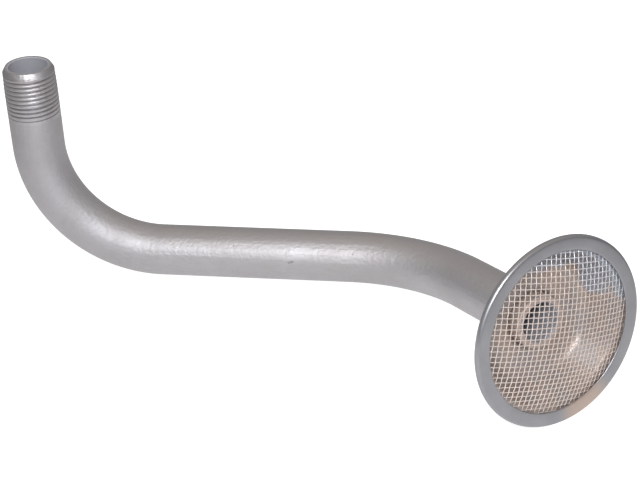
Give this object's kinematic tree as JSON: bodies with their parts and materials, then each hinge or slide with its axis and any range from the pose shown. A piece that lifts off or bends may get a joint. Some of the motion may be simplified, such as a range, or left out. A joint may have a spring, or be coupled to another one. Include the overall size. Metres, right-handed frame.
{
  "type": "oil pickup tube",
  "caption": "Bent steel oil pickup tube with a tapered pipe thread at its outlet and a round stamped bell at its inlet, closed by a domed wire strainer screen.",
  "frame": {"origin": "centre of the threaded end face", "axes": "+Z out of the threaded end along the thread's axis, +X along the straight run towards the bell"},
  "size_m": [0.2541, 0.1023, 0.1099],
  "materials": {
    "tube_steel": "satin, bead blasted",
    "bell_steel": "satin, stamped",
    "screen_wire": "drawn wire",
    "braze": "copper braze, as flowed"
  },
  "bodies": {
    "root": {"pickup_tube": "tube_steel", "pickup_bell": "bell_steel", "strainer_screen": "screen_wire", "braze_fillet": "braze"}
  },
  "joints": []
}
